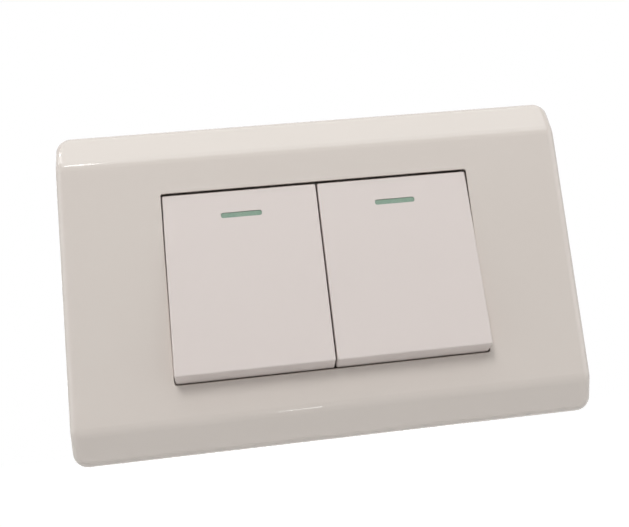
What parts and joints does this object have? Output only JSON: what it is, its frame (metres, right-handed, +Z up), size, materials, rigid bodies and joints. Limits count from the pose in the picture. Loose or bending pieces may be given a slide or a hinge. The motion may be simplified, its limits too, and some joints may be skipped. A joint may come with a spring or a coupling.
{
  "type": "rocker light switch",
  "caption": "Oblong wall plate with a flat face and sloping bands, with side-by-side rockers that tip sprung contact levers in modules behind it.",
  "frame": {"origin": "midway between the two box-screw slots, on the wall's surface", "axes": "+X to the right as seen from the room, +Y into the wall, +Z up"},
  "size_m": [0.118, 0.0313, 0.074],
  "materials": {
    "plate_plastic": "gloss",
    "rocker_plastic": "satin",
    "luminous_plastic": "satin",
    "frame_plastic": "matte",
    "module_plastic": "matte",
    "base_plastic": "matte",
    "nylon": "satin",
    "spring_steel": "bright",
    "brass": "rolled",
    "silver": "bright",
    "plated_steel": "zinc plated"
  },
  "bodies": {
    "switch_body": {"cover_plate": "plate_plastic", "mounting_frame": "frame_plastic", "left_module_cover": "module_plastic", "left_module_base": "base_plastic", "left_common_terminal": "brass", "left_switched_terminal": "brass", "left_fixed_contact": "silver", "left_terminal_screws": "plated_steel", "right_module_cover": "module_plastic", "right_module_base": "base_plastic", "right_common_terminal": "brass", "right_switched_terminal": "brass", "right_fixed_contact": "silver", "right_terminal_screws": "plated_steel"},
    "left_key": {"left_rocker": "rocker_plastic", "left_indicator_strip": "luminous_plastic", "left_plunger_spring": "spring_steel"},
    "left_pin": {"left_plunger": "nylon"},
    "left_see_saw": {"left_contact_lever": "brass", "left_lever_contact": "silver"},
    "right_key": {"right_rocker": "rocker_plastic", "right_indicator_strip": "luminous_plastic", "right_plunger_spring": "spring_steel"},
    "right_pin": {"right_plunger": "nylon"},
    "right_see_saw": {"right_contact_lever": "brass", "right_lever_contact": "silver"}
  },
  "joints": [
    {"name": "left_rocker_tilt", "type": "hinge", "parent": "switch_body", "child": "left_key", "pos_m": [-0.01786, -0.00355, 0], "axis": [1, 0, 0], "range_deg": [0, 12]},
    {"name": "left_plunger_slide", "type": "slide", "parent": "left_key", "child": "left_pin", "axis": [0, -0.9945, 0.1045], "range_m": [0, 0.002], "stiffness_N_per_m": 800, "springref_m": -0.002, "deforming": ["left_plunger_spring"]},
    {"name": "left_lever_tilt", "type": "hinge", "parent": "switch_body", "child": "left_see_saw", "pos_m": [-0.01786, 0.00945, 0], "axis": [1, 0, 0], "range_deg": [-18, 0]},
    {"name": "right_rocker_tilt", "type": "hinge", "parent": "switch_body", "child": "right_key", "pos_m": [0.01786, -0.00355, 0], "axis": [1, 0, 0], "range_deg": [0, 12]},
    {"name": "right_plunger_slide", "type": "slide", "parent": "right_key", "child": "right_pin", "axis": [0, -0.9945, 0.1045], "range_m": [0, 0.002], "stiffness_N_per_m": 800, "springref_m": -0.002, "deforming": ["right_plunger_spring"]},
    {"name": "right_lever_tilt", "type": "hinge", "parent": "switch_body", "child": "right_see_saw", "pos_m": [0.01786, 0.00945, 0], "axis": [1, 0, 0], "range_deg": [-18, 0]}
  ],
  "couplings": [
    {"joint": "left_lever_tilt", "follows": "left_rocker_tilt", "ratio": -1.5},
    {"joint": "right_lever_tilt", "follows": "right_rocker_tilt", "ratio": -1.5}
  ]
}
